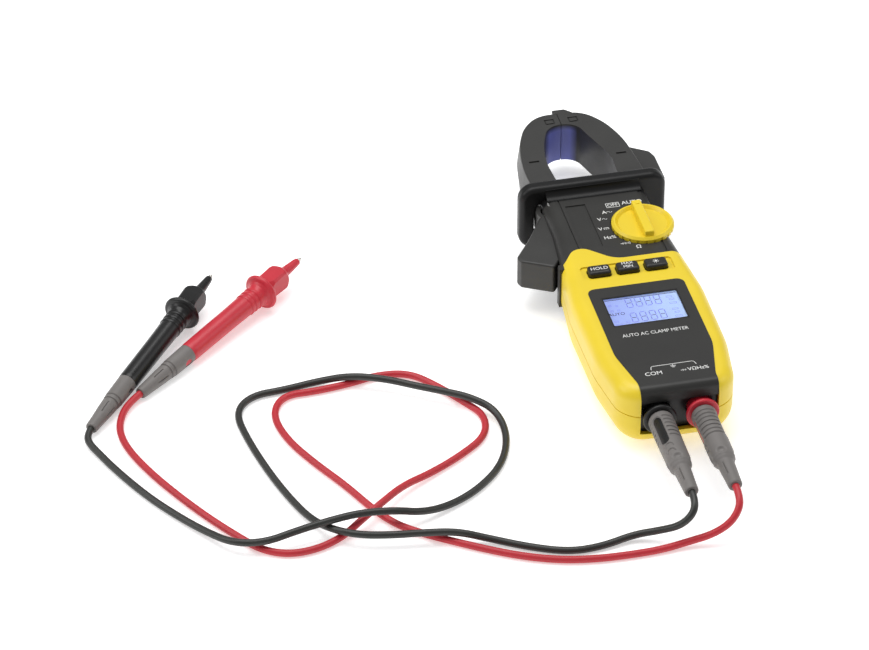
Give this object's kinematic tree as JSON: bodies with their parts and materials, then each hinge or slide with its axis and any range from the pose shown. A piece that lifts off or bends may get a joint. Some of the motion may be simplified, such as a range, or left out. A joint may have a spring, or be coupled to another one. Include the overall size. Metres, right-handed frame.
{
  "type": "clamp meter",
  "caption": "Clamp meter with teardrop jaws, a rotary dial, backlit display and a pair of plugged-in test leads lying loosely beside it.",
  "frame": {"origin": "on the flat back, on the centre line of the case, just below the dial's centre", "axes": "+X to the right, +Y towards the jaws when the display is read, +Z out of the display"},
  "size_m": [0.2877, 0.2916, 0.0371],
  "materials": {
    "yellow_plastic": "satin moulded ABS",
    "charcoal_plastic": "fine moulded texture",
    "panel_plastic": "satin",
    "black_rubber": "matt",
    "black_plastic": "satin",
    "grey_rubber": "matt",
    "red_plastic": "satin",
    "red_cord_skin": "soft sheen",
    "black_cord_skin": "soft sheen",
    "clear_window": "clear",
    "lcd_layer": "clear",
    "backlight_diffuser": "lit",
    "white_plastic": "satin",
    "board": "solder mask",
    "chip_plastic": "matt",
    "steel": "bright",
    "nickel": "polished",
    "brass": "polished",
    "core_iron": "laminated",
    "copper_winding": "enamelled wire",
    "cell_sleeve": "plain"
  },
  "bodies": {
    "case": {"front_case": "yellow_plastic", "rear_case": "yellow_plastic", "dial_housing": "charcoal_plastic", "rear_housing": "charcoal_plastic", "display_panel": "panel_plastic", "lcd_window": "clear_window", "lcd_glass": "lcd_layer", "lcd_backlight": "backlight_diffuser", "lcd_holder": "white_plastic", "detent_spring": "steel", "button_mat": "black_rubber", "main_board": "board", "board_chips": "chip_plastic", "sounder": "brass", "backlight_led": "white_plastic", "fixed_jaw_front": "charcoal_plastic", "fixed_jaw_rear": "charcoal_plastic", "fixed_jaw_core": "core_iron", "fixed_jaw_winding": "copper_winding", "pivot_pin": "steel", "jaw_spring": "steel", "jack_block": "black_plastic", "jack_sleeve_com": "nickel", "jack_sleeve_volt": "nickel", "battery_cells": "cell_sleeve", "battery_contacts": "nickel", "case_screws": "steel"},
    "jaw": {"moving_jaw_front": "charcoal_plastic", "moving_jaw_rear": "charcoal_plastic", "moving_jaw_core": "core_iron", "moving_jaw_winding": "copper_winding", "trigger": "charcoal_plastic"},
    "dial": {"knob": "yellow_plastic", "switch_rotor": "white_plastic", "switch_wipers": "brass"},
    "hold_key": {"button_hold": "black_rubber"},
    "max_min_key": {"button_max_min": "black_rubber"},
    "light_key": {"button_light": "black_rubber"},
    "battery_door": {"battery_cover": "yellow_plastic", "cover_screw": "steel"},
    "black_lead": {"black_plug_pin": "nickel", "black_plug_flange": "black_plastic", "black_plug_boot": "grey_rubber", "black_cord": "black_cord_skin", "black_probe_relief": "grey_rubber", "black_probe_barrel": "black_plastic", "black_probe_tip": "nickel"},
    "black_cap": {"black_tip_cap": "black_plastic"},
    "red_lead": {"red_plug_pin": "nickel", "red_plug_flange": "red_plastic", "red_plug_boot": "grey_rubber", "red_cord": "red_cord_skin", "red_probe_relief": "grey_rubber", "red_probe_barrel": "red_plastic", "red_probe_tip": "nickel"},
    "red_cap": {"red_tip_cap": "red_plastic"}
  },
  "joints": [
    {"name": "jaw_hinge", "type": "hinge", "parent": "case", "child": "jaw", "pos_m": [-0.02, 0.041, 0.02], "axis": [0, 0, 1], "range_deg": [0, 22], "stiffness_Nm_per_rad": 0.5, "springref_deg": -17.19},
    {"name": "dial_turn", "type": "hinge", "parent": "case", "child": "dial", "pos_m": [0.0154, 0.0147, 0.034], "axis": [0, 0, 1], "range_deg": [0, 157.5]},
    {"name": "hold_press", "type": "slide", "parent": "case", "child": "hold_key", "axis": [0, 0, -1], "range_m": [0, 0.0008], "stiffness_N_per_m": 900, "springref_m": -0.0004},
    {"name": "max_min_press", "type": "slide", "parent": "case", "child": "max_min_key", "axis": [0, 0, -1], "range_m": [0, 0.0008], "stiffness_N_per_m": 900, "springref_m": -0.0004},
    {"name": "light_press", "type": "slide", "parent": "case", "child": "light_key", "axis": [0, 0, -1], "range_m": [0, 0.0008], "stiffness_N_per_m": 900, "springref_m": -0.0004},
    {"name": "battery_door_lift", "type": "slide", "parent": "case", "child": "battery_door", "axis": [0, 0, -1], "range_m": [0, 0.02]},
    {"name": "red_plug_pull", "type": "slide", "parent": "case", "child": "red_lead", "axis": [0, -1, 0], "range_m": [0, 0.025]},
    {"name": "black_plug_pull", "type": "slide", "parent": "case", "child": "black_lead", "axis": [0, -1, 0], "range_m": [0, 0.025]},
    {"name": "red_cap_pull", "type": "slide", "parent": "red_lead", "child": "red_cap", "axis": [0.7577, 0.6495, 0.0635], "range_m": [0, 0.015]},
    {"name": "black_cap_pull", "type": "slide", "parent": "black_lead", "child": "black_cap", "axis": [0.6089, 0.7907, 0.0635], "range_m": [0, 0.015]}
  ],
  "couplings": [
    {"joint": "black_plug_pull", "follows": "red_plug_pull", "ratio": 1}
  ]
}
